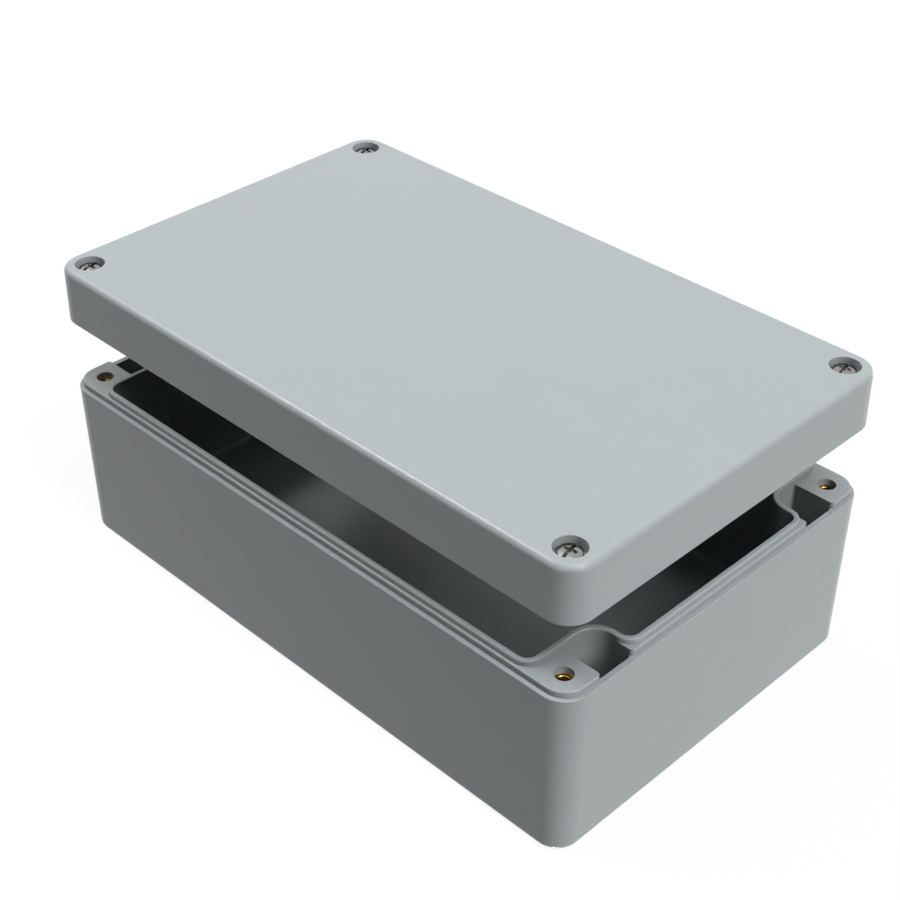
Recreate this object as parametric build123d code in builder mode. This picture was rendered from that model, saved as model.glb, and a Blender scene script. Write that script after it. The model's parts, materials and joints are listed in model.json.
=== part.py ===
# Wall-mounting electronics enclosure with a screwed, gasketed lid.
# The lid stands lifted above the base, as on a product drawing. Millimetres, +Z up,
# origin under the centre of the base's floor, long side along X.

import os
from math import radians, tan

from build123d import *

# Overall size
length = 260.0
width = 160.0
corner_radius = 10.0
base_height = 68.0  # floor face to the ledge that the lid's skirt meets
lid_height = 22.3
lid_lift = 30.5  # how far the lid stands above its closed place
draft = 0.75  # mould draft of the walls, in degrees

# Base moulding
floor_thickness = 4.5
base_edge_radius = 2.8
cavity_edge_radius = 2.5
ledge_width = 1.6
ledge_edge_radius = 0.3
step_height = 2.5  # ledge up to the shoulder and the corner bosses
shoulder_width = 0.95
shoulder_edge_radius = 0.4
rim_width = 2.05
rim_height = 2.2
rim_edge_radius = 0.5
rim_inner_corner = 4.0  # inner radius where the rim turns outwards
well_corner = 8.2  # outer radius where the rim goes round a well

# Corner bosses and the wells beside them
screw_inset = 10.0  # screw axis from the outer faces
boss_reach_x = 8.4  # screw axis to the boss's inner side along X
boss_reach_y = 8.0  # screw axis to the boss's side at the well
boss_hole_radius = 3.35
boss_hole_depth = 2.8
well_width = 15.1
well_wall = 2.3
well_floor = 6.0
well_outer_radius = 1.2
well_boss_radius = 1.0
well_mouth_radius = 1.5
fixing_hole_radius = 3.25

# Floor pillars for a mounting plate
pillar_inset = 32.0  # pillar axis from the outer faces
pillar_radius = 5.5
pillar_height = 6.0
pillar_foot_radius = 1.5

# Lid moulding
lid_plate = 4.0
lid_edge_radius = 2.5
seat_gap = 0.1  # skirt over the ledge when the lid is closed
skirt_edge_radius = 0.2
skirt_clearance = 0.3
shoulder_clearance = 0.5
groove_clearance = 0.4
groove_rib = 1.8
lid_inner_radius = 2.5
relief_wall = 1.8  # round the hollow over each well
relief_radius = 2.0
screw_pocket_radius = 5.5
screw_pocket_depth = 4.5
screw_pocket_edge = 0.3
washer_pocket_radius = 5.0
screw_web = 4.0
screw_hole_radius = 2.5

# Gasket
gasket_thickness = 2.4
gasket_gap = 0.1  # gasket over the rim when the lid is closed
gasket_side_clearance = 0.05

# Lid screws and the washers that hold them captive
screw_length = 23.5  # under the head
thread_radius = 2.0
neck_radius = 1.5
head_radius = 4.1
head_height = 2.6
head_dome = 0.7
head_edge_radius = 0.3
head_gap = 0.1
tip_chamfer = 0.5
slot_width = 1.1
slot_depth = 1.4
cross_width = 1.2
cross_reach = 2.3
cross_depth = 1.9
cross_taper = 12.0  # in degrees
washer_radius = 4.5
washer_thickness = 1.5
washer_bore_clearance = 0.3
washer_gap = 0.1
captive_travel = 6.0

# Threaded inserts
insert_clearance = 0.02
insert_bore_clearance = 0.15
insert_bore_chamfer = 0.2
insert_groove_depth = 0.5
insert_groove_width = 2.0
lid_insert_radius = 4.0
lid_insert_length = 10.0
lid_insert_bore_depth = 9.0
floor_insert_radius = 3.5
floor_insert_length = 8.0
floor_insert_bore_depth = 7.0
floor_screw_radius = 2.0
drill_point = 0.6  # height of a blind bore's point, as a share of its radius

tolerance = 0.01  # for finding edges and corners by their place

# Heights that follow
shoulder_z = base_height + step_height
rim_z = shoulder_z + rim_height
lid_insert_z = shoulder_z - boss_hole_depth
pillar_z = floor_thickness + pillar_height
lid_z = base_height + seat_gap + lid_lift
lid_top_z = lid_z + lid_height
flange_z = shoulder_z + shoulder_clearance + lid_lift
groove_z = rim_z + gasket_gap + gasket_thickness + lid_lift
plate_z = lid_top_z - lid_plate
seat_z = lid_top_z - screw_pocket_depth
web_z = seat_z - screw_web
washer_z = web_z - captive_travel - washer_thickness
thread_z = washer_z - washer_gap
head_z = seat_z + head_gap
tip_z = head_z - screw_length
head_top_z = head_z + head_height + head_dome

# Places that follow
screw_x = length / 2 - screw_inset
screw_y = width / 2 - screw_inset
rim_inset = ledge_width + shoulder_width + rim_width / 2  # to the rim's centre line
seal_x = length / 2 - rim_inset
seal_y = width / 2 - rim_inset
shoulder_x = length / 2 - ledge_width
well_x = length / 2 - well_wall  # outer wall's inner face in a well
notch_x = screw_x - boss_reach_x  # rim's outer face beside a boss and a well
boss_side_y = screw_y - boss_reach_y
notch_y = boss_side_y - well_width  # rim's outer face at a well's far side
fixing_x = screw_x
fixing_y = boss_side_y - well_width / 2
pillar_x = length / 2 - pillar_inset
pillar_y = width / 2 - pillar_inset
groove_width = rim_width + 2 * groove_clearance

# The four corners, by the sign of X and of Y; the front is the side towards -Y
corners = {
    "front_left": (-1, -1),
    "front_right": (1, -1),
    "back_right": (1, 1),
    "back_left": (-1, 1),
}

# Which way each screw's slot points, in degrees from +X
slot_angles = {
    "front_left": 94,
    "front_right": 111,
    "back_right": 111,
    "back_left": 99,
}


def near(value, other):
    return abs(value - other) < tolerance


def corner_places(x, y):
    """The same place in all four corners."""
    return [(sign_x * x, sign_y * y) for sign_x, sign_y in corners.values()]


def rounded_outline(inset):
    """The enclosure's plan outline, drawn in from its outer faces."""
    with BuildSketch(mode=Mode.PRIVATE) as outline:
        RectangleRounded(length - 2 * inset, width - 2 * inset, corner_radius - inset)
    return outline.sketch


def seal_outline(grow):
    """The rim's centre line, grown outwards. It passes inside the bosses and wells."""
    half_rim = rim_width / 2
    with BuildSketch(mode=Mode.PRIVATE) as outline:
        Rectangle(2 * (seal_x + grow), 2 * (notch_y - half_rim + grow))
        Rectangle(2 * (notch_x - half_rim + grow), 2 * (seal_y + grow))
        outward_corners = outline.vertices().sort_by_distance((0, 0, 0))[4:]
        fillet(outward_corners, radius=rim_inner_corner + half_rim + grow)
        inward_corners = outline.vertices().sort_by_distance((0, 0, 0))[:4]
        fillet(inward_corners, radius=well_corner + half_rim - grow)
    return outline.sketch


def seal_band(band_width):
    """A band of even width that follows the rim's centre line."""
    with BuildSketch(mode=Mode.PRIVATE) as band:
        add(seal_outline(band_width / 2))
        add(seal_outline(-band_width / 2), mode=Mode.SUBTRACT)
    return band.sketch


def corner_pockets(x_from, x_to, y_from, y_to, inner_far, inner_boss, outer):
    """A pocket in each corner, with a radius for each kind of its corners."""
    middle_x = (x_from + x_to) / 2
    middle_y = (y_from + y_to) / 2
    with BuildSketch(mode=Mode.PRIVATE) as pockets:
        with Locations(corner_places(middle_x, middle_y)):
            Rectangle(x_to - x_from, y_to - y_from)
        for corner_x, corner_y, radius in (
            (x_to, y_from, outer),
            (x_to, y_to, outer),
            (x_from, y_to, inner_boss),
            (x_from, y_from, inner_far),
        ):
            places = corner_places(corner_x, corner_y)
            found = [v for v in pockets.vertices() if any(near(v.X, x) and near(v.Y, y) for x, y in places)]
            fillet(found, radius=radius)
    return pockets.sketch


def upright_plane(x, y, z):
    """A plane through an upright axis, for half sections: its Y points up."""
    return Plane(origin=(x, y, z), x_dir=(1, 0, 0), z_dir=(0, -1, 0))


def insert_section(radius, depth, clearance=0.0):
    """Half section of an insert's body with its ring groove, its top at Y 0."""
    outer = radius + clearance
    waist = outer - insert_groove_depth
    groove_top = -depth / 2 + insert_groove_width / 2
    groove_bottom = -depth / 2 - insert_groove_width / 2
    with BuildSketch(mode=Mode.PRIVATE) as section:
        with BuildLine():
            Polyline(
                (0, 0),
                (outer, 0),
                (outer, groove_top + insert_groove_depth),
                (waist, groove_top),
                (waist, groove_bottom),
                (outer, groove_bottom - insert_groove_depth),
                (outer, -depth),
                (0, -depth),
                close=True,
            )
        make_face()
    return section.sketch


def make_insert(radius, depth, bore_radius, bore_depth):
    """A brass insert standing on the Z axis with its top at Z 0 and a blind bore."""
    with BuildPart() as insert:
        with BuildSketch(upright_plane(0, 0, 0)):
            add(insert_section(radius, depth))
        revolve(axis=Axis.Z)
        with BuildSketch(upright_plane(0, 0, 0)):
            with BuildLine():
                Polyline(
                    (0, 0),
                    (bore_radius + insert_bore_chamfer, 0),
                    (bore_radius, -insert_bore_chamfer),
                    (bore_radius, -bore_depth + drill_point * bore_radius),
                    (0, -bore_depth),
                    close=True,
                )
            make_face()
        revolve(axis=Axis.Z, mode=Mode.SUBTRACT)
    return insert.part


# The base's cavity and the lid's hollow, each with its rounded end
with BuildPart() as cavity:
    with BuildSketch(Plane.XY.offset(rim_z)):
        add(seal_outline(-rim_width / 2))
    extrude(amount=floor_thickness - rim_z, taper=draft)
    fillet(cavity.faces().sort_by(Axis.Z)[0].edges(), radius=cavity_edge_radius)

groove_side = groove_width / 2 + groove_rib
with BuildPart() as lid_hollow:
    with BuildSketch(Plane.XY.offset(flange_z)):
        add(seal_outline(-groove_side))
    extrude(amount=plate_z - flange_z, taper=draft)
    fillet(lid_hollow.faces().sort_by(Axis.Z)[-1].edges(), radius=lid_inner_radius)

# Base: one moulding with its cavity, sealing rim, bosses, wells and pillars
base_foot_inset = base_height * tan(radians(draft))
with BuildPart() as base:
    with BuildSketch(Plane.XY):
        add(rounded_outline(base_foot_inset))
    extrude(amount=base_height, taper=-draft)
    fillet(base.faces().sort_by(Axis.Z)[0].edges(), radius=base_edge_radius)
    fillet(base.faces().sort_by(Axis.Z)[-1].edges(), radius=ledge_edge_radius)
    with BuildSketch(Plane.XY.offset(base_height)):
        add(rounded_outline(ledge_width))
    extrude(amount=step_height)
    fillet(base.faces().sort_by(Axis.Z)[-1].edges(), radius=shoulder_edge_radius)

    # Wells, and their flared mouths through the shoulder's outer side
    with BuildSketch(Plane.XY.offset(well_floor)):
        add(
            corner_pockets(
                notch_x,
                well_x,
                notch_y,
                boss_side_y,
                inner_far=well_corner,
                inner_boss=well_boss_radius,
                outer=well_outer_radius,
            )
        )
    extrude(amount=shoulder_z - well_floor, mode=Mode.SUBTRACT)
    with BuildSketch(Plane.XY.offset(base_height)) as mouths:
        with Locations(corner_places(shoulder_x, fixing_y)):
            Rectangle(2 * (shoulder_x - fixing_x), well_width)
        with Locations(corner_places(length / 2, fixing_y)):
            Rectangle(2 * ledge_width, well_width + 4 * well_mouth_radius)
        mouth_corners = mouths.vertices().filter_by(
            lambda v: near(abs(v.X), shoulder_x) and near(abs(abs(v.Y) - fixing_y), well_width / 2)
        )
        fillet(mouth_corners, radius=well_mouth_radius)
    extrude(amount=step_height, mode=Mode.SUBTRACT)

    # Sealing rim, and the cavity down through it
    with BuildSketch(Plane.XY.offset(shoulder_z)):
        add(seal_outline(rim_width / 2))
    extrude(amount=rim_height)
    add(cavity.part, mode=Mode.SUBTRACT)
    fillet(base.faces().sort_by(Axis.Z)[-1].edges(), radius=rim_edge_radius)

    # Pillars on the floor
    with BuildSketch(Plane.XY.offset(floor_thickness)):
        with Locations(corner_places(pillar_x, pillar_y)):
            Circle(pillar_radius)
    extrude(amount=pillar_height)
    pillar_feet = base.edges().filter_by(GeomType.CIRCLE).filter_by(
        lambda e: near(e.radius, pillar_radius) and near(e.center().Z, floor_thickness)
    )
    fillet(pillar_feet, radius=pillar_foot_radius)

    # Holes in the bosses and wells, and the seats of the moulded-in inserts
    with Locations(Plane.XY.offset(shoulder_z)):
        with Locations(corner_places(screw_x, screw_y)):
            Hole(radius=boss_hole_radius, depth=boss_hole_depth)
    with Locations(Plane.XY.offset(well_floor)):
        with Locations(corner_places(fixing_x, fixing_y)):
            Hole(radius=fixing_hole_radius, depth=well_floor)
    for x, y in corner_places(screw_x, screw_y):
        with BuildSketch(upright_plane(x, y, lid_insert_z)):
            add(insert_section(lid_insert_radius, lid_insert_length, insert_clearance))
        revolve(axis=Axis((x, y, 0), (0, 0, 1)), mode=Mode.SUBTRACT)
    for x, y in corner_places(pillar_x, pillar_y):
        with BuildSketch(upright_plane(x, y, pillar_z)):
            add(insert_section(floor_insert_radius, floor_insert_length, insert_clearance))
        revolve(axis=Axis((x, y, 0), (0, 0, 1)), mode=Mode.SUBTRACT)

# Lid: one moulding, hollow below, with a groove that the base's rim enters
skirt_wall = ledge_width - skirt_clearance
with BuildPart() as lid:
    with BuildSketch(Plane.XY.offset(lid_z)):
        add(rounded_outline(0))
    extrude(amount=lid_height, taper=draft)
    fillet(lid.faces().sort_by(Axis.Z)[-1].edges(), radius=lid_edge_radius)
    fillet(lid.faces().sort_by(Axis.Z)[0].edges(), radius=skirt_edge_radius)
    with BuildSketch(Plane.XY.offset(lid_z)):
        add(rounded_outline(skirt_wall))
    extrude(amount=flange_z - lid_z, mode=Mode.SUBTRACT)
    add(lid_hollow.part, mode=Mode.SUBTRACT)
    with BuildSketch(Plane.XY.offset(flange_z)):
        add(seal_band(groove_width))
    extrude(amount=groove_z - flange_z, mode=Mode.SUBTRACT)

    # Hollows over the wells
    with BuildSketch(Plane.XY.offset(flange_z)):
        add(
            corner_pockets(
                notch_x + groove_clearance + relief_wall,
                well_x - relief_wall,
                notch_y + groove_clearance + relief_wall,
                boss_side_y - relief_wall,
                inner_far=well_corner - groove_clearance - relief_wall,
                inner_boss=relief_radius,
                outer=relief_radius,
            )
        )
    extrude(amount=plate_z - flange_z, mode=Mode.SUBTRACT)

    # Screw pockets, washer pockets and the holes between them
    with Locations(Plane.XY.offset(lid_top_z)):
        with Locations(corner_places(screw_x, screw_y)):
            CounterBoreHole(
                radius=screw_hole_radius,
                counter_bore_radius=screw_pocket_radius,
                counter_bore_depth=screw_pocket_depth,
                depth=lid_top_z - flange_z,
            )
    with BuildSketch(Plane.XY.offset(flange_z)):
        with Locations(corner_places(screw_x, screw_y)):
            Circle(washer_pocket_radius)
    extrude(amount=web_z - flange_z, mode=Mode.SUBTRACT)
    pocket_edges = lid.edges().filter_by(GeomType.CIRCLE).filter_by(
        lambda e: near(e.radius, screw_pocket_radius) and near(e.center().Z, lid_top_z)
    )
    fillet(pocket_edges, radius=screw_pocket_edge)

# Gasket: a closed loop that fills the top of the lid's groove
with BuildPart() as gasket:
    with BuildSketch(Plane.XY.offset(groove_z - gasket_thickness)):
        add(seal_band(groove_width - 2 * gasket_side_clearance))
    extrude(amount=gasket_thickness)

# Lid screw on the Z axis: head, narrow neck for its washer, and thread
with BuildPart() as screw:
    with BuildSketch(upright_plane(0, 0, 0)):
        with BuildLine():
            Polyline(
                (0, tip_z),
                (thread_radius - tip_chamfer, tip_z),
                (thread_radius, tip_z + tip_chamfer),
                (thread_radius, thread_z),
                (neck_radius, thread_z),
                (neck_radius, head_z),
                (head_radius, head_z),
                (head_radius, head_z + head_height),
            )
            TangentArc((0, head_top_z), (head_radius, head_z + head_height), tangent=(1, 0))
            Line((0, head_top_z), (0, tip_z))
        make_face()
    revolve(axis=Axis.Z)
    head_rim = screw.edges().filter_by(GeomType.CIRCLE).filter_by(
        lambda e: near(e.center().Z, head_z + head_height)
    )
    fillet(head_rim, radius=head_edge_radius)
    with BuildSketch(Plane.XY.offset(head_top_z)):
        Rectangle(2 * head_radius + slot_width, slot_width)
    extrude(amount=-slot_depth, mode=Mode.SUBTRACT)
    with BuildSketch(Plane.XY.offset(head_top_z)):
        Rectangle(2 * cross_reach, cross_width)
        Rectangle(cross_width, 2 * cross_reach)
    extrude(amount=-cross_depth, taper=cross_taper, mode=Mode.SUBTRACT)

# Washer that turns on the screw's neck and keeps it in the lid
with BuildPart() as washer:
    with BuildSketch(Plane.XY.offset(washer_z)):
        Circle(washer_radius)
        Circle(neck_radius + washer_bore_clearance, mode=Mode.SUBTRACT)
    extrude(amount=washer_thickness)

lid_insert = make_insert(
    lid_insert_radius,
    lid_insert_length,
    thread_radius + insert_bore_clearance,
    lid_insert_bore_depth,
)
floor_insert = make_insert(
    floor_insert_radius,
    floor_insert_length,
    floor_screw_radius,
    floor_insert_bore_depth,
)

# Every piece with its name; what repeats is placed in each corner
pieces = {"base": base.part, "lid": lid.part, "gasket": gasket.part}
for corner, (sign_x, sign_y) in corners.items():
    over_boss = (sign_x * screw_x, sign_y * screw_y)
    over_pillar = (sign_x * pillar_x, sign_y * pillar_y)
    slot_turn = (0, 0, slot_angles[corner])
    pieces[f"lid_screw_{corner}"] = screw.part.moved(Location((*over_boss, 0), slot_turn))
    pieces[f"retaining_washer_{corner}"] = washer.part.moved(Location((*over_boss, 0)))
    pieces[f"lid_insert_{corner}"] = lid_insert.moved(Location((*over_boss, lid_insert_z)))
    pieces[f"floor_insert_{corner}"] = floor_insert.moved(Location((*over_pillar, pillar_z)))

os.makedirs("parts", exist_ok=True)
for name, piece in pieces.items():
    piece.label = name
    export_step(piece, f"parts/{name}.step")
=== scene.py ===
"""Looks of the electronics enclosure: camera, light, materials, threads and the soft seal.

Everything is in metres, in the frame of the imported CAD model.
"""

import json
from math import cos, hypot, pi, radians, sin

import bmesh
import bpy
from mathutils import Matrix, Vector, noise


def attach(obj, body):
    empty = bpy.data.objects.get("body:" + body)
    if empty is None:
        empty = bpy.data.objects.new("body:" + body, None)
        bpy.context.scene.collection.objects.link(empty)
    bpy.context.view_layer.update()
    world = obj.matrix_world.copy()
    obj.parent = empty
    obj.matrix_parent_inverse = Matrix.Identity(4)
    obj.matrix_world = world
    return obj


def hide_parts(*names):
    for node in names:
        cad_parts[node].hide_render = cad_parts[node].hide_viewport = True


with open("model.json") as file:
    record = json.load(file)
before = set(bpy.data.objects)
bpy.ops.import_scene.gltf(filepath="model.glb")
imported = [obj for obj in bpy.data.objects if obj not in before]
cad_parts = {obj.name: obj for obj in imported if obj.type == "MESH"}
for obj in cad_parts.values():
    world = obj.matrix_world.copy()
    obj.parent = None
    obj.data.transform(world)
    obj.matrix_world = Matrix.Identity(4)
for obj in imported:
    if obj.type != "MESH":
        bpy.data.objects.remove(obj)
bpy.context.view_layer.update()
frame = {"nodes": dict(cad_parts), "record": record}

mm = 0.001
corners = {
    "front_left": (-1, -1),
    "front_right": (1, -1),
    "back_right": (1, 1),
    "back_left": (-1, 1),
}

# Where the screws and pillars stand
screw_x = 120 * mm
screw_y = 70 * mm
pillar_x = 98 * mm
pillar_y = 48 * mm

# Which way each screw's slot points, in degrees from +X
slot_angles = {
    "front_left": 97,
    "front_right": 99,
    "back_right": 98,
    "back_left": 101,
}


# Camera

camera_place = Vector((0.37804, -0.37804, 0.43854))
camera_target = Vector((0, 0, 0.0605))
lens_mm = 69.57

camera_data = bpy.data.cameras.new("camera")
camera_data.lens = lens_mm
camera_data.sensor_width = 36
camera_data.clip_start = 0.01
camera_data.clip_end = 20
camera = bpy.data.objects.new("camera", camera_data)
camera.location = camera_place
camera.rotation_euler = (camera_target - camera_place).to_track_quat("-Z", "Y").to_euler()
bpy.context.scene.collection.objects.link(camera)
bpy.context.scene.camera = camera
bpy.context.scene.view_settings.view_transform = "Standard"


# Helpers for node trees


def add_node(tree, kind, values=None, **settings):
    """A new node; values sets or links its inputs, settings its own options."""
    node = tree.nodes.new(kind)
    for key, value in settings.items():
        setattr(node, key, value)
    for key, value in (values or {}).items():
        if isinstance(value, bpy.types.NodeSocket):
            tree.links.new(value, node.inputs[key])
        else:
            node.inputs[key].default_value = value
    return node


def new_material(name, **shader_values):
    """A material with a Principled shader, and the object's own coordinates for its patterns."""
    material = bpy.data.materials.new(name)
    material.use_nodes = True
    tree = material.node_tree
    shader = tree.nodes["Principled BSDF"]
    for key, value in shader_values.items():
        shader.inputs[key.replace("_", " ")].default_value = value
    place = add_node(tree, "ShaderNodeTexCoord").outputs["Object"]
    return material, tree, shader, place


def noise_of(tree, place, size, detail=3.0, roughness=0.55):
    """A noise pattern whose features are about as large as size."""
    values = {"Vector": place, "Scale": 1 / size, "Detail": detail, "Roughness": roughness}
    return add_node(tree, "ShaderNodeTexNoise", values).outputs["Fac"]


def spread(tree, value, low, high, low_in=0.3, high_in=0.7):
    """A pattern's value brought to the range from low to high."""
    values = {
        "Value": value,
        "From Min": low_in,
        "From Max": high_in,
        "To Min": low,
        "To Max": high,
    }
    return add_node(tree, "ShaderNodeMapRange", values).outputs["Result"]


def tones(tree, value, first, second):
    """A colour between two, by a pattern's value."""
    mix = add_node(tree, "ShaderNodeMix", data_type="RGBA")
    tree.links.new(value, mix.inputs["Factor"])
    colour_inputs = [i for i in mix.inputs if i.type == "RGBA"]
    colour_inputs[0].default_value = (*first, 1)
    colour_inputs[1].default_value = (*second, 1)
    return next(o for o in mix.outputs if o.type == "RGBA")


def bump(tree, height, depth, strength=1.0, under=None):
    """A bump of that depth in metres, laid over another one."""
    values = {"Height": height, "Distance": depth, "Strength": strength}
    node = add_node(tree, "ShaderNodeBump", values)
    if under is not None:
        tree.links.new(under, node.inputs["Normal"])
    return node.outputs["Normal"]


def either(tree, first, second):
    """1 where the first or the second value is 1."""
    return add_node(tree, "ShaderNodeMath", {0: first, 1: second}, operation="MAXIMUM").outputs[0]


def connect(tree, shader, **sockets):
    """Links each named input of a shader."""
    for key, value in sockets.items():
        tree.links.new(value, shader.inputs[key.replace("_", " ")])


# Materials


def make_housing():
    """Silver-grey moulded polyester: an even tone, a fine mould texture and faint flow marks."""
    material, tree, shader, place = new_material("housing_moulding", Specular_IOR_Level=0.36)
    flow = noise_of(tree, place, 22 * mm, detail=2)
    fibre = noise_of(tree, place, 1.4 * mm, detail=5, roughness=0.65)
    grain = noise_of(tree, place, 0.35 * mm, detail=2)
    mixed = add_node(tree, "ShaderNodeMath", {0: flow, 1: fibre}, operation="ADD")
    factor = spread(tree, mixed.outputs[0], 0, 1, low_in=0.75, high_in=1.25)
    colour = tones(tree, factor, (0.482, 0.528, 0.535), (0.491, 0.537, 0.544))
    connect(
        tree,
        shader,
        Base_Color=colour,
        Roughness=spread(tree, fibre, 0.20, 0.26),
        Normal=bump(tree, grain, 0.006 * mm, under=bump(tree, fibre, 0.004 * mm)),
    )
    return material


def make_seal():
    """Black closed-cell foam with small open cells in its skin."""
    material, tree, shader, place = new_material("seal_foam", Specular_IOR_Level=0.3)
    cells = add_node(tree, "ShaderNodeTexVoronoi", {"Vector": place, "Scale": 1 / (0.45 * mm)})
    skin = noise_of(tree, place, 2.5 * mm, detail=4)
    black, grey = (0.016, 0.016, 0.017), (0.034, 0.034, 0.036)
    connect(
        tree,
        shader,
        Base_Color=tones(tree, spread(tree, skin, 0, 1), black, grey),
        Roughness=spread(tree, skin, 0.78, 0.92),
        Normal=bump(tree, cells.outputs["Distance"], 0.05 * mm, under=bump(tree, skin, 0.12 * mm)),
    )
    return material


def make_turned_metal(name, first, second, rough, rougher):
    """Turned metal: fine rings about the piece's own axis, and a faint uneven polish."""
    material, tree, shader, place = new_material(name, Metallic=1.0)
    axes = add_node(tree, "ShaderNodeSeparateXYZ", {"Vector": place}).outputs
    plan = add_node(tree, "ShaderNodeCombineXYZ", {"X": axes["X"], "Y": axes["Y"]})
    radius = add_node(
        tree, "ShaderNodeVectorMath", {0: plan.outputs["Vector"]}, operation="LENGTH"
    ).outputs["Value"]
    lines = add_node(tree, "ShaderNodeCombineXYZ", {"X": radius, "Z": axes["Z"]})
    rings = noise_of(tree, lines.outputs["Vector"], 0.09 * mm, detail=2)
    polish = noise_of(tree, place, 0.8 * mm, detail=3)
    connect(
        tree,
        shader,
        Base_Color=tones(tree, spread(tree, polish, 0, 1), first, second),
        Roughness=spread(tree, polish, rough, rougher),
        Normal=bump(tree, rings, 0.004 * mm),
    )
    return material


def make_washer():
    """Black nylon with a faint moulded grain."""
    material, tree, shader, place = new_material("washer_nylon", Specular_IOR_Level=0.45)
    grain = noise_of(tree, place, 0.5 * mm, detail=3)
    black, grey = (0.017, 0.017, 0.018), (0.028, 0.028, 0.030)
    connect(
        tree,
        shader,
        Base_Color=tones(tree, spread(tree, grain, 0, 1), black, grey),
        Roughness=spread(tree, grain, 0.42, 0.55),
        Normal=bump(tree, grain, 0.01 * mm),
    )
    return material


steel, steel_light = (0.25, 0.25, 0.245), (0.34, 0.335, 0.325)
brass, brass_light = (0.46, 0.27, 0.07), (0.60, 0.38, 0.12)
# Painted shade: the two darker metals below stand in for the shade inside recesses and bores
steel_painted_shade, steel_painted_shade_pale = (0.035, 0.035, 0.034), (0.075, 0.074, 0.071)
brass_painted_shade, brass_painted_shade_pale = (0.045, 0.030, 0.014), (0.085, 0.060, 0.026)

materials = {
    "housing": make_housing(),
    "seal": make_seal(),
    "screw": make_turned_metal("screw_steel", steel, steel_light, 0.16, 0.24),
    "insert": make_turned_metal("insert_brass", brass, brass_light, 0.20, 0.32),
    "washer": make_washer(),
}

# Painted shade: what is sunk into the metal pieces, the recesses of the screws and the bores of the
# inserts, gets a darker metal that stands in for the shade there
painted_shade_materials = {
    "screw": make_turned_metal("screw_recess_painted_shade", steel_painted_shade, steel_painted_shade_pale, 0.38, 0.50),
    "insert": make_turned_metal("insert_bore_painted_shade", brass_painted_shade, brass_painted_shade_pale, 0.35, 0.48),
}


def dress(piece, slot):
    """Gives a piece its slot's material, and the darker one of painted shade where it has sunk
    faces.
    """
    piece.data.materials.clear()
    piece.data.materials.append(materials[slot])
    if slot in painted_shade_materials:
        piece.data.materials.append(painted_shade_materials[slot])


def mark_painted_shade(piece, is_sunk):
    """Gives the second material, the painted shade, to the faces whose centre is_sunk(radius,
    height) picks.
    """
    for face in piece.data.polygons:
        centre = face.center
        if is_sunk(hypot(centre.x, centre.y), centre.z):
            face.material_index = 1


for entry in frame["record"]["subparts"]:
    dress(frame["nodes"][entry["node"]], entry["material_slot"])


# Turned pieces with threads


def arc(centre, radius, start, end, steps):
    """Points on an arc, as (radius, height) pairs; the angles are in degrees."""
    found = []
    for i in range(steps + 1):
        angle = radians(start + (end - start) * i / steps)
        found.append((centre[0] + radius * cos(angle), centre[1] + radius * sin(angle)))
    return found


def thread_share(turn):
    """How deep a thread's groove is, from 0 to 1, at this share of its pitch."""
    from_crest = 1 - abs(2 * (turn % 1) - 1)
    return min(max((from_crest - 0.15) / 0.6, 0), 1)


def turned_mesh(name, outline, thread, segments=56):
    """A closed mesh turned about Z, from (radius, height) pairs that start and end on the axis.
    thread gives the heights between which a groove winds round, its pitch and its depth."""
    low, high, pitch, depth = thread
    rows = []
    for (radius_a, z_a), (radius_b, z_b) in zip(outline, outline[1:]):
        rows.append((radius_a, z_a))
        along_thread = radius_a == radius_b and min(z_a, z_b) <= low and max(z_a, z_b) >= high
        if along_thread:
            steps = round(abs(z_b - z_a) / pitch * 12)
            rows += [(radius_a, z_a + (z_b - z_a) * i / steps) for i in range(1, steps)]
    rows.append(outline[-1])

    mesh = bmesh.new()
    rings = []
    for radius, z in rows:
        if radius == 0:
            rings.append([mesh.verts.new((0, 0, z))])
            continue
        fade = min(max(min(z - low, high - z) / pitch, 0), 1)
        ring = []
        for i in range(segments):
            turn = i / segments
            cut = depth * fade * thread_share(z / pitch - turn)
            reach = radius - cut
            ring.append(mesh.verts.new((reach * cos(2 * pi * turn), reach * sin(2 * pi * turn), z)))
        rings.append(ring)
    for lower, upper in zip(rings, rings[1:]):
        for i in range(segments):
            j = (i + 1) % segments
            if len(lower) == 1:
                mesh.faces.new((lower[0], upper[j], upper[i]))
            elif len(upper) == 1:
                mesh.faces.new((lower[i], lower[j], upper[0]))
            else:
                mesh.faces.new((lower[i], lower[j], upper[j], upper[i]))
    bmesh.ops.recalc_face_normals(mesh, faces=mesh.faces)
    return to_object(name, mesh)


def to_object(name, mesh, smooth_angle=32):
    """Turns a bmesh into an object with smooth faces and crisp edges."""
    data = bpy.data.meshes.new(name)
    mesh.to_mesh(data)
    mesh.free()
    data.shade_smooth()
    data.set_sharp_from_angle(angle=radians(smooth_angle))
    piece = bpy.data.objects.new(name, data)
    bpy.context.scene.collection.objects.link(piece)
    return piece


def tapered_cross(reach, width, core, top, bottom, taper):
    """The cutter of a cross recess: arms of that width, with its inner corners cut off at core."""
    mesh = bmesh.new()
    rings = []
    for z, inset in ((top, 0), (bottom, taper)):
        arm, half, corner = reach - inset, width / 2 - inset / 3, core - inset / 2
        plan = []
        for quarter in range(4):
            turn = quarter * pi / 2
            for x, y in ((arm, -half), (arm, half), (corner, half), (half, corner)):
                plan.append((x * cos(turn) - y * sin(turn), x * sin(turn) + y * cos(turn)))
        rings.append([mesh.verts.new((x, y, z)) for x, y in plan])
    count = len(rings[0])
    for i in range(count):
        j = (i + 1) % count
        mesh.faces.new((rings[0][i], rings[0][j], rings[1][j], rings[1][i]))
    mesh.faces.new(rings[0])
    mesh.faces.new(list(reversed(rings[1])))
    bmesh.ops.recalc_face_normals(mesh, faces=mesh.faces)
    return to_object("recess_cutter", mesh)


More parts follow.
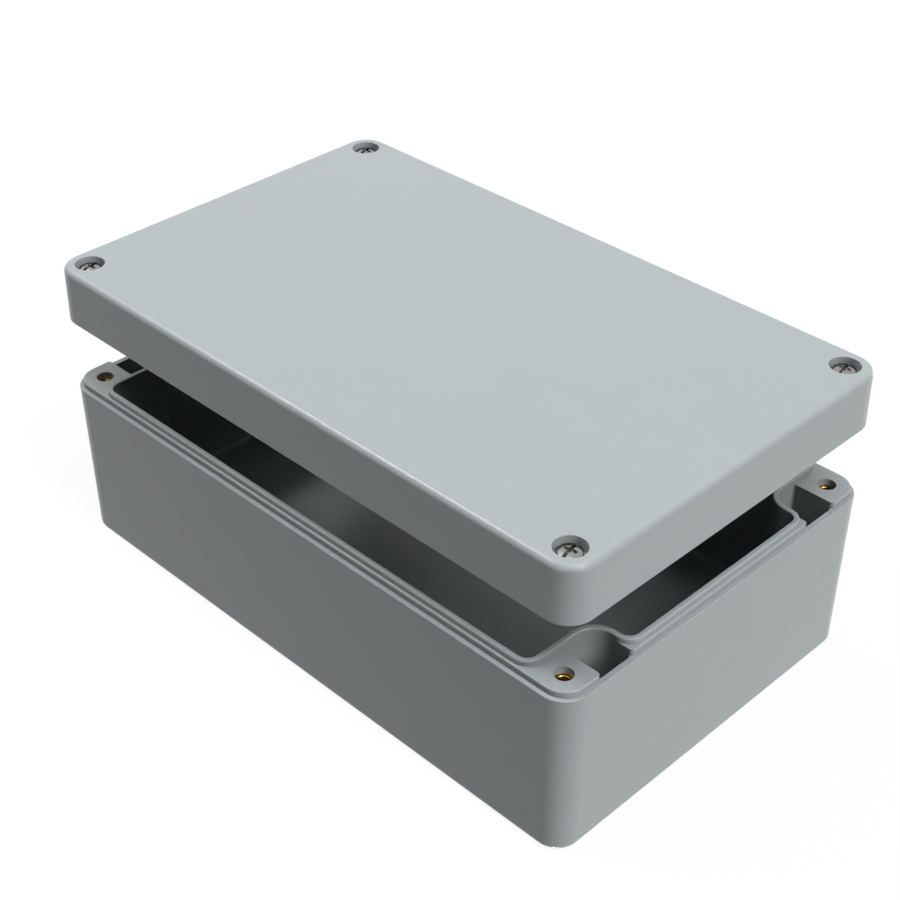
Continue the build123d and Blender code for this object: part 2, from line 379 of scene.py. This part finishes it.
def bar(length, width, top, bottom):
    """The cutter of a straight slot."""
    mesh = bmesh.new()
    bmesh.ops.create_cube(mesh, size=1)
    for vertex in mesh.verts:
        vertex.co.x *= length
        vertex.co.y *= width
        vertex.co.z = top if vertex.co.z > 0 else bottom
    return to_object("slot_cutter", mesh)


def apply_modifiers(piece):
    """Puts a piece's modifiers into its mesh."""
    graph = bpy.context.evaluated_depsgraph_get()
    data = bpy.data.meshes.new_from_object(piece.evaluated_get(graph))
    piece.modifiers.clear()
    piece.data = data


def cut_away(piece, cutter):
    """Cuts one mesh out of another and drops the cutter."""
    modifier = piece.modifiers.new("cut", "BOOLEAN")
    modifier.operation = "DIFFERENCE"
    modifier.solver = "EXACT"
    modifier.object = cutter
    apply_modifiers(piece)
    bpy.data.objects.remove(cutter)


def make_screw(name):
    """A captive cheese-head screw: slot and cross recess, plain neck, rolled thread."""
    tip_z, thread_z, head_z = 93.0 * mm, 104.8 * mm, 116.5 * mm
    head_side = 2.6 * mm
    dome = 0.7 * mm
    head_radius, edge = 4.1 * mm, 0.3 * mm
    neck_radius, thread_radius, chamfer = 1.5 * mm, 2.0 * mm, 0.5 * mm
    under_edge = 0.15 * mm
    thread_pitch, thread_depth = 0.7 * mm, 0.38 * mm
    slot_width, slot_depth = 1.25 * mm, 1.4 * mm
    cross_reach, cross_width, cross_core = 2.4 * mm, 1.3 * mm, 1.0 * mm
    cross_depth, cross_taper = 1.9 * mm, 0.45 * mm
    edge_z = head_z + head_side
    outline = [
        (0, tip_z),
        (thread_radius - chamfer, tip_z),
        (thread_radius, tip_z + chamfer),
        (thread_radius, thread_z - 0.2 * mm),
        (neck_radius + 0.1 * mm, thread_z),
        (neck_radius, thread_z + 0.1 * mm),
        (neck_radius, head_z - 0.1 * mm),
        (neck_radius + 0.1 * mm, head_z),
        (head_radius - under_edge, head_z),
        (head_radius, head_z + under_edge),
    ]
    outline += arc((head_radius - edge, edge_z - edge), edge, 0, 75, 5)
    top_start = outline[-1][0]
    rings = 12
    for i in range(1, rings):
        radius = top_start * (1 - i / rings)
        outline.append((radius, edge_z + dome * (1 - (radius / top_start) ** 2)))
    outline.append((0, edge_z + dome))
    thread = (tip_z + chamfer, thread_z - 0.2 * mm, thread_pitch, thread_depth)
    screw = turned_mesh(name, outline, thread)
    top = edge_z + dome
    cut_away(screw, bar(3 * head_radius, slot_width, top + dome, top - slot_depth))
    cross = tapered_cross(cross_reach, cross_width, cross_core, top, top - cross_depth, cross_taper)
    cut_away(screw, cross)
    bevel = screw.modifiers.new("edges", "BEVEL")
    bevel.width = 0.05 * mm
    bevel.segments = 2
    bevel.limit_method = "ANGLE"
    bevel.angle_limit = radians(50)
    apply_modifiers(screw)
    screw.data.shade_smooth()
    screw.data.set_sharp_from_angle(angle=radians(40))

    def in_recess(radius, z):
        dome_z = edge_z + dome * (1 - (radius / top_start) ** 2)
        return radius < top_start and head_z + under_edge < z < dome_z - 0.1 * mm

    # Painted shade on the faces of the slot and the cross recess
    mark_painted_shade(screw, in_recess)
    return screw


def make_insert(name, radius, length, bore_radius, bore_depth, thread_depth, top_z):
    """A brass insert with its ring groove and a threaded blind bore, its outside as in the CAD."""
    chamfer = 0.2 * mm
    groove, half_groove = 0.5 * mm, 1.0 * mm
    middle = top_z - length / 2
    bottom = top_z - length
    bore_end = top_z - bore_depth + 0.6 * bore_radius
    outline = [
        (0, bottom),
        (radius, bottom),
        (radius, middle - half_groove - groove),
        (radius - groove, middle - half_groove),
        (radius - groove, middle + half_groove),
        (radius, middle + half_groove + groove),
        (radius, top_z),
        (bore_radius + chamfer, top_z),
        (bore_radius, top_z - chamfer),
        (bore_radius, bore_end),
        (0, top_z - bore_depth),
    ]
    thread = (bore_end, top_z - chamfer, 0.7 * mm, thread_depth)
    insert = turned_mesh(name, outline, thread)
    # Painted shade on the faces of the threaded bore
    mark_painted_shade(insert, lambda radius, z: radius < bore_radius + 0.05 * mm)
    return insert


def place_piece(piece, x, y, body, slot, node, turn=0.0):
    """Stands a turned piece on its axis in place of its CAD node."""
    piece.location = (x, y, 0)
    piece.rotation_euler = (0, 0, radians(turn))
    dress(piece, slot)
    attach(piece, body)
    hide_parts(node)


screw_model = make_screw("screw_model")
lid_insert_model = make_insert(
    "lid_insert_model", 4.0 * mm, 10 * mm, 2.15 * mm, 9 * mm, 0.1 * mm, 67.7 * mm
)
floor_insert_model = make_insert(
    "floor_insert_model", 3.5 * mm, 8 * mm, 2.0 * mm, 7 * mm, 0.3 * mm, 10.5 * mm
)
for corner, (sign_x, sign_y) in corners.items():
    turn_of_slot = slot_angles[corner]
    for kind, model, x, y, body, slot, turn in (
        ("lid_screw", screw_model, screw_x, screw_y, f"screw_{corner}", "screw", turn_of_slot),
        ("lid_insert", lid_insert_model, screw_x, screw_y, "base", "insert", 0),
        ("floor_insert", floor_insert_model, pillar_x, pillar_y, "base", "insert", 0),
    ):
        node = f"{kind}_{corner}"
        piece = bpy.data.objects.new(f"{node}_threaded", model.data.copy())
        bpy.context.scene.collection.objects.link(piece)
        place_piece(piece, sign_x * x, sign_y * y, body, slot, node, turn)
for model in (screw_model, lid_insert_model, floor_insert_model):
    bpy.data.objects.remove(model)


# Seal: a soft bead with a crowned underside, all round the lid's groove

seal_x, seal_y = 126.425 * mm, 76.425 * mm
turn_x, turn_y = 110.575 * mm, 45.875 * mm
outward_radius, inward_radius = 5.025 * mm, 9.225 * mm
seal_half_width, seal_thickness = 1.375 * mm, 2.4 * mm
seal_top_z = 105.7 * mm


def seal_path():
    """The seal's centre line as (point, outward normal) pairs, counter-clockwise from +X."""
    quarter = [
        ((seal_x, turn_y), (-1, -1), outward_radius, 0, 90),
        ((turn_x, turn_y), (1, 1), inward_radius, 270, 180),
        ((turn_x, seal_y), (-1, -1), outward_radius, 0, 90),
    ]
    turns = []
    for mirror_x, mirror_y in ((1, 1), (-1, 1), (-1, -1), (1, -1)):
        steps = quarter if mirror_x * mirror_y > 0 else list(reversed(quarter))
        for (x, y), (side_x, side_y), radius, start, end in steps:
            centre = ((x + side_x * radius) * mirror_x, (y + side_y * radius) * mirror_y)
            if mirror_x * mirror_y < 0:
                start, end = end, start
            points = []
            for i in range(9):
                angle = radians(start + (end - start) * i / 8)
                away = Vector((cos(angle) * mirror_x, sin(angle) * mirror_y))
                point = Vector(centre) + away * radius
                points.append((point, away if radius == outward_radius else -away))
            turns.append(points)
    path = []
    step = 4 * mm
    for points, following in zip(turns, turns[1:] + turns[:1]):
        path += points
        start, end = points[-1][0], following[0][0]
        count = int((end - start).length / step)
        for i in range(1, count):
            path.append((start.lerp(end, i / count), points[-1][1]))
    return path


def make_seal_bead(name):
    """The seal as one closed bead: its flat top in the lid's groove, its crowned face below."""
    mesh = bmesh.new()
    rings = []
    side = 0.9 * mm
    crown = seal_thickness - side
    for point, away in seal_path():
        across = [(seal_half_width, 0), (seal_half_width, -side)]
        for i in range(1, 10):
            angle = pi * i / 10
            across.append((seal_half_width * cos(angle), -side - crown * sin(angle)))
        across += [(-seal_half_width, -side), (-seal_half_width, 0)]
        ring = []
        for offset, drop in across:
            uneven = 0.06 * mm * noise.noise(Vector((*point, drop)) / (9 * mm))
            height = drop if drop > -side else drop + max(uneven, 0)
            place = point + away * offset
            ring.append(mesh.verts.new((place.x, place.y, seal_top_z + height)))
        rings.append(ring)
    count = len(rings[0])
    for ring, following in zip(rings, rings[1:] + rings[:1]):
        for i in range(count):
            j = (i + 1) % count
            mesh.faces.new((ring[i], ring[j], following[j], following[i]))
    bmesh.ops.recalc_face_normals(mesh, faces=mesh.faces)
    return to_object(name, mesh, smooth_angle=60)


seal_bead = make_seal_bead("gasket_bead")
dress(seal_bead, "seal")
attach(seal_bead, "lid")
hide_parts("gasket")


# Light


def add_sun(name, azimuth, elevation, strength, spread_angle):
    """A distant soft light from that azimuth, in degrees from +X, and elevation. It lights what it
    reaches and isn't carried on from there, so the inside of the box stays dark."""
    light = bpy.data.lights.new(name, "SUN")
    light.energy = strength
    light.angle = radians(spread_angle)
    light.cycles.max_bounces = 0
    lamp = bpy.data.objects.new(name, light)
    level = cos(radians(elevation))
    towards = Vector(
        (level * cos(radians(azimuth)), level * sin(radians(azimuth)), sin(radians(elevation)))
    )
    lamp.rotation_euler = towards.to_track_quat("Z", "Y").to_euler()
    bpy.context.scene.collection.objects.link(lamp)


# The key light from the right, a softer one from the left, and the glow of the floor from below,
# in strengths that bring each side of the housing near its tone in the photograph
add_sun("key_high_front", azimuth=-25, elevation=65, strength=0.45, spread_angle=30)
add_sun("key_high_back", azimuth=25, elevation=65, strength=0.56, spread_angle=30)
add_sun("key_middle", azimuth=0, elevation=45, strength=0.91, spread_angle=25)
add_sun("key_low", azimuth=0, elevation=28, strength=0.40, spread_angle=20)
add_sun("overhead", azimuth=0, elevation=90, strength=0.31, spread_angle=40)
add_sun("left_light", azimuth=203, elevation=50, strength=0.80, spread_angle=15)
add_sun("left_glow", azimuth=190, elevation=52, strength=0.46, spread_angle=50)
add_sun("glow_right", azimuth=0, elevation=-15, strength=0.47, spread_angle=20)
add_sun("glow_back", azimuth=90, elevation=-15, strength=0.80, spread_angle=10)
add_sun("glow_below", azimuth=0, elevation=-90, strength=0.80, spread_angle=10)

world = bpy.data.worlds.new("studio")
bpy.context.scene.world = world
world.use_nodes = True
world.cycles.max_bounces = 1
tree = world.node_tree
tree.nodes.clear()
rays = add_node(tree, "ShaderNodeLightPath").outputs
seen = either(tree, rays["Is Camera Ray"], rays["Is Glossy Ray"])
seen = either(tree, seen, rays["Is Transmission Ray"])
ambient = add_node(tree, "ShaderNodeBackground", {"Color": (0.92, 0.96, 1, 1), "Strength": 0.002})
backdrop = add_node(tree, "ShaderNodeBackground", {"Color": (1, 1, 1, 1), "Strength": 1.0})
mixed = add_node(
    tree,
    "ShaderNodeMixShader",
    {0: seen, 1: ambient.outputs[0], 2: backdrop.outputs[0]},
)
out = add_node(tree, "ShaderNodeOutputWorld", {"Surface": mixed.outputs[0]})


# Floor: pale, seen only from above; it keeps the object's shadow

floor_half = 3.0
mesh = bmesh.new()
bmesh.ops.create_grid(mesh, x_segments=1, y_segments=1, size=floor_half)
floor = to_object("floor", mesh)
material = bpy.data.materials.new("floor_pale")
material.use_nodes = True
tree = material.node_tree
tree.nodes.clear()
rays = add_node(tree, "ShaderNodeLightPath").outputs
seen = either(tree, rays["Is Camera Ray"], rays["Is Glossy Ray"])
matt = add_node(tree, "ShaderNodeBsdfDiffuse", {"Color": (0.30, 0.30, 0.30, 1)})
pale = add_node(tree, "ShaderNodeBsdfDiffuse", {"Color": (0.12, 0.12, 0.12, 1)})
white = add_node(tree, "ShaderNodeEmission", {"Color": (1, 1, 1, 1), "Strength": 0.91})
lit = add_node(tree, "ShaderNodeAddShader", {0: pale.outputs[0], 1: white.outputs[0]})
front = add_node(tree, "ShaderNodeMixShader", {0: seen, 1: matt.outputs[0], 2: lit.outputs[0]})
clear = add_node(tree, "ShaderNodeBsdfTransparent")
below = add_node(tree, "ShaderNodeNewGeometry").outputs["Backfacing"]
open_to = either(tree, below, rays["Is Shadow Ray"])
both = add_node(tree, "ShaderNodeMixShader", {0: open_to, 1: front.outputs[0], 2: clear.outputs[0]})
add_node(tree, "ShaderNodeOutputMaterial", {"Surface": both.outputs[0]})
floor.data.materials.append(material)
